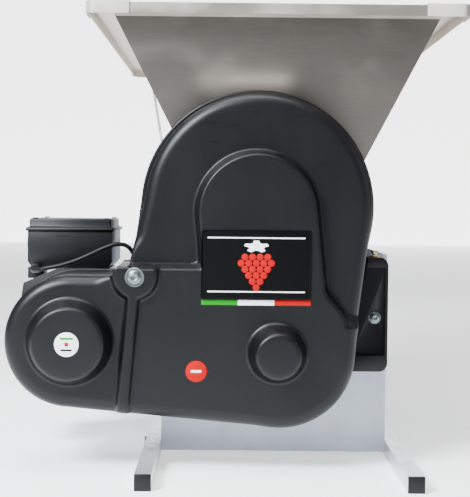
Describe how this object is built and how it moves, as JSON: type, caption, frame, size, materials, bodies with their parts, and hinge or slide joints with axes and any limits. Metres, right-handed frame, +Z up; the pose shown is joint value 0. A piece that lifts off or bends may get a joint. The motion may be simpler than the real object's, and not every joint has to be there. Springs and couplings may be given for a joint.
{
  "type": "grape crusher destemmer",
  "caption": "Motor-driven crusher with an open hopper, fluted rollers, an auger and a beater in a perforated cage, on two runners, with a belt guard at one end.",
  "frame": {"origin": "middle of the whole footprint on the surface that the runners stand on", "axes": "+Z up, +Y from the belt-drive end towards the stem outlet along the runners, +X away from the motor"},
  "size_m": [0.5969, 1.208, 0.599],
  "materials": {
    "painted_steel": "pale blue-grey powder coat",
    "galvanised_steel": "bright zinc-plated steel",
    "stainless_steel": "brushed stainless sheet",
    "cap_plastic": "grey-beige moulded plastic",
    "black_plastic": "matt black moulded plastic",
    "guard_plastic": "satin black thermoformed plastic with a fine grain",
    "box_plastic": "satin black moulded plastic",
    "zinc_fastener": "bright zinc plating",
    "yellow_zinc": "yellow passivated zinc",
    "shaft_steel": "turned steel",
    "cast_iron": "machined cast iron",
    "gear_plastic": "ivory cast nylon",
    "bearing_plastic": "pale nylon",
    "roller_rubber": "dark grey fluted rubber on a steel shaft",
    "paddle_plastic": "dark food-grade rubber paddles",
    "motor_paint": "warm grey motor paint",
    "copper_winding": "varnished copper winding in a laminated core",
    "belt_rubber": "black vee belt",
    "lead_rubber": "black rubber-sheathed lead",
    "start_green": "green push button",
    "stop_red": "red push button",
    "inlet_blue": "blue mains inlet"
  },
  "bodies": {
    "frame": {"runners": "galvanised_steel", "runner_plugs": "black_plastic", "runner_bolts": "zinc_fastener", "drive_panel": "painted_steel", "stem_panel": "painted_steel", "side_panel_left": "painted_steel", "side_panel_right": "painted_steel", "top_deck": "galvanised_steel", "hopper": "stainless_steel", "hopper_corner_caps": "cap_plastic", "hopper_struts": "galvanised_steel", "strut_bolts": "zinc_fastener", "hopper_front_bracket": "galvanised_steel", "hopper_rear_saddle": "galvanised_steel", "roller_frame": "galvanised_steel", "roller_bushes": "bearing_plastic", "auger_bearings": "bearing_plastic", "beater_bearings": "bearing_plastic", "beater_bridge": "galvanised_steel", "cage": "stainless_steel", "stem_chute": "painted_steel", "drive_belt": "belt_rubber", "motor_frame": "motor_paint", "motor_stator": "copper_winding", "motor_fan_cover": "black_plastic", "motor_end_shields": "motor_paint", "motor_bracket": "painted_steel", "motor_bolts": "zinc_fastener", "belt_guard": "guard_plastic", "guard_backplate": "black_plastic", "side_cover": "black_plastic", "guard_standoff": "zinc_fastener", "guard_screws": "zinc_fastener", "gap_adjuster": "yellow_zinc", "switch_box": "box_plastic", "switch_box_lid": "box_plastic", "box_screws": "zinc_fastener", "mains_inlet": "inlet_blue", "lead_glands": "black_plastic", "lead": "lead_rubber"},
    "beater": {"beater_shaft": "shaft_steel", "beater_paddles": "paddle_plastic", "drive_pinion": "cast_iron", "beater_pulley": "cast_iron", "pulley_nuts": "zinc_fastener"},
    "motor": {"motor_rotor": "shaft_steel", "motor_fan": "black_plastic", "motor_pulley": "cast_iron"},
    "left_roller": {"roller_left": "roller_rubber", "roller_gear_left": "gear_plastic", "drive_wheel": "gear_plastic"},
    "right_roller": {"roller_right": "roller_rubber", "roller_gear_right": "gear_plastic", "feed_pinion": "cast_iron"},
    "auger": {"auger_shaft": "shaft_steel", "auger_flight": "stainless_steel", "auger_gear": "gear_plastic"},
    "start": {"start_button": "start_green"},
    "stop": {"stop_button": "stop_red"}
  },
  "joints": [
    {"name": "beater_spin", "type": "hinge", "parent": "frame", "child": "beater", "pos_m": [0.0465, 0, 0.15], "axis": [0, 1, 0], "continuous": true},
    {"name": "motor_spin", "type": "hinge", "parent": "frame", "child": "motor", "pos_m": [-0.2125, 0, 0.162], "axis": [0, 1, 0], "continuous": true},
    {"name": "left_roller_spin", "type": "hinge", "parent": "frame", "child": "left_roller", "pos_m": [0.0065, 0, 0.29041], "axis": [0, 1, 0], "continuous": true},
    {"name": "right_roller_spin", "type": "hinge", "parent": "frame", "child": "right_roller", "pos_m": [0.0865, 0, 0.29041], "axis": [0, 1, 0], "continuous": true},
    {"name": "auger_spin", "type": "hinge", "parent": "frame", "child": "auger", "pos_m": [0.0465, 0, 0.32961], "axis": [0, 1, 0], "continuous": true},
    {"name": "start_press", "type": "slide", "parent": "frame", "child": "start", "axis": [1, 0, 0], "range_m": [0, 0.003], "stiffness_N_per_m": 400, "springref_m": -0.001},
    {"name": "stop_press", "type": "slide", "parent": "frame", "child": "stop", "axis": [1, 0, 0], "range_m": [0, 0.003], "stiffness_N_per_m": 400, "springref_m": -0.001}
  ],
  "couplings": [
    {"joint": "motor_spin", "follows": "beater_spin", "ratio": 2.5806},
    {"joint": "left_roller_spin", "follows": "beater_spin", "ratio": -0.25862},
    {"joint": "right_roller_spin", "follows": "beater_spin", "ratio": 0.25862},
    {"joint": "auger_spin", "follows": "beater_spin", "ratio": -0.14368}
  ]
}
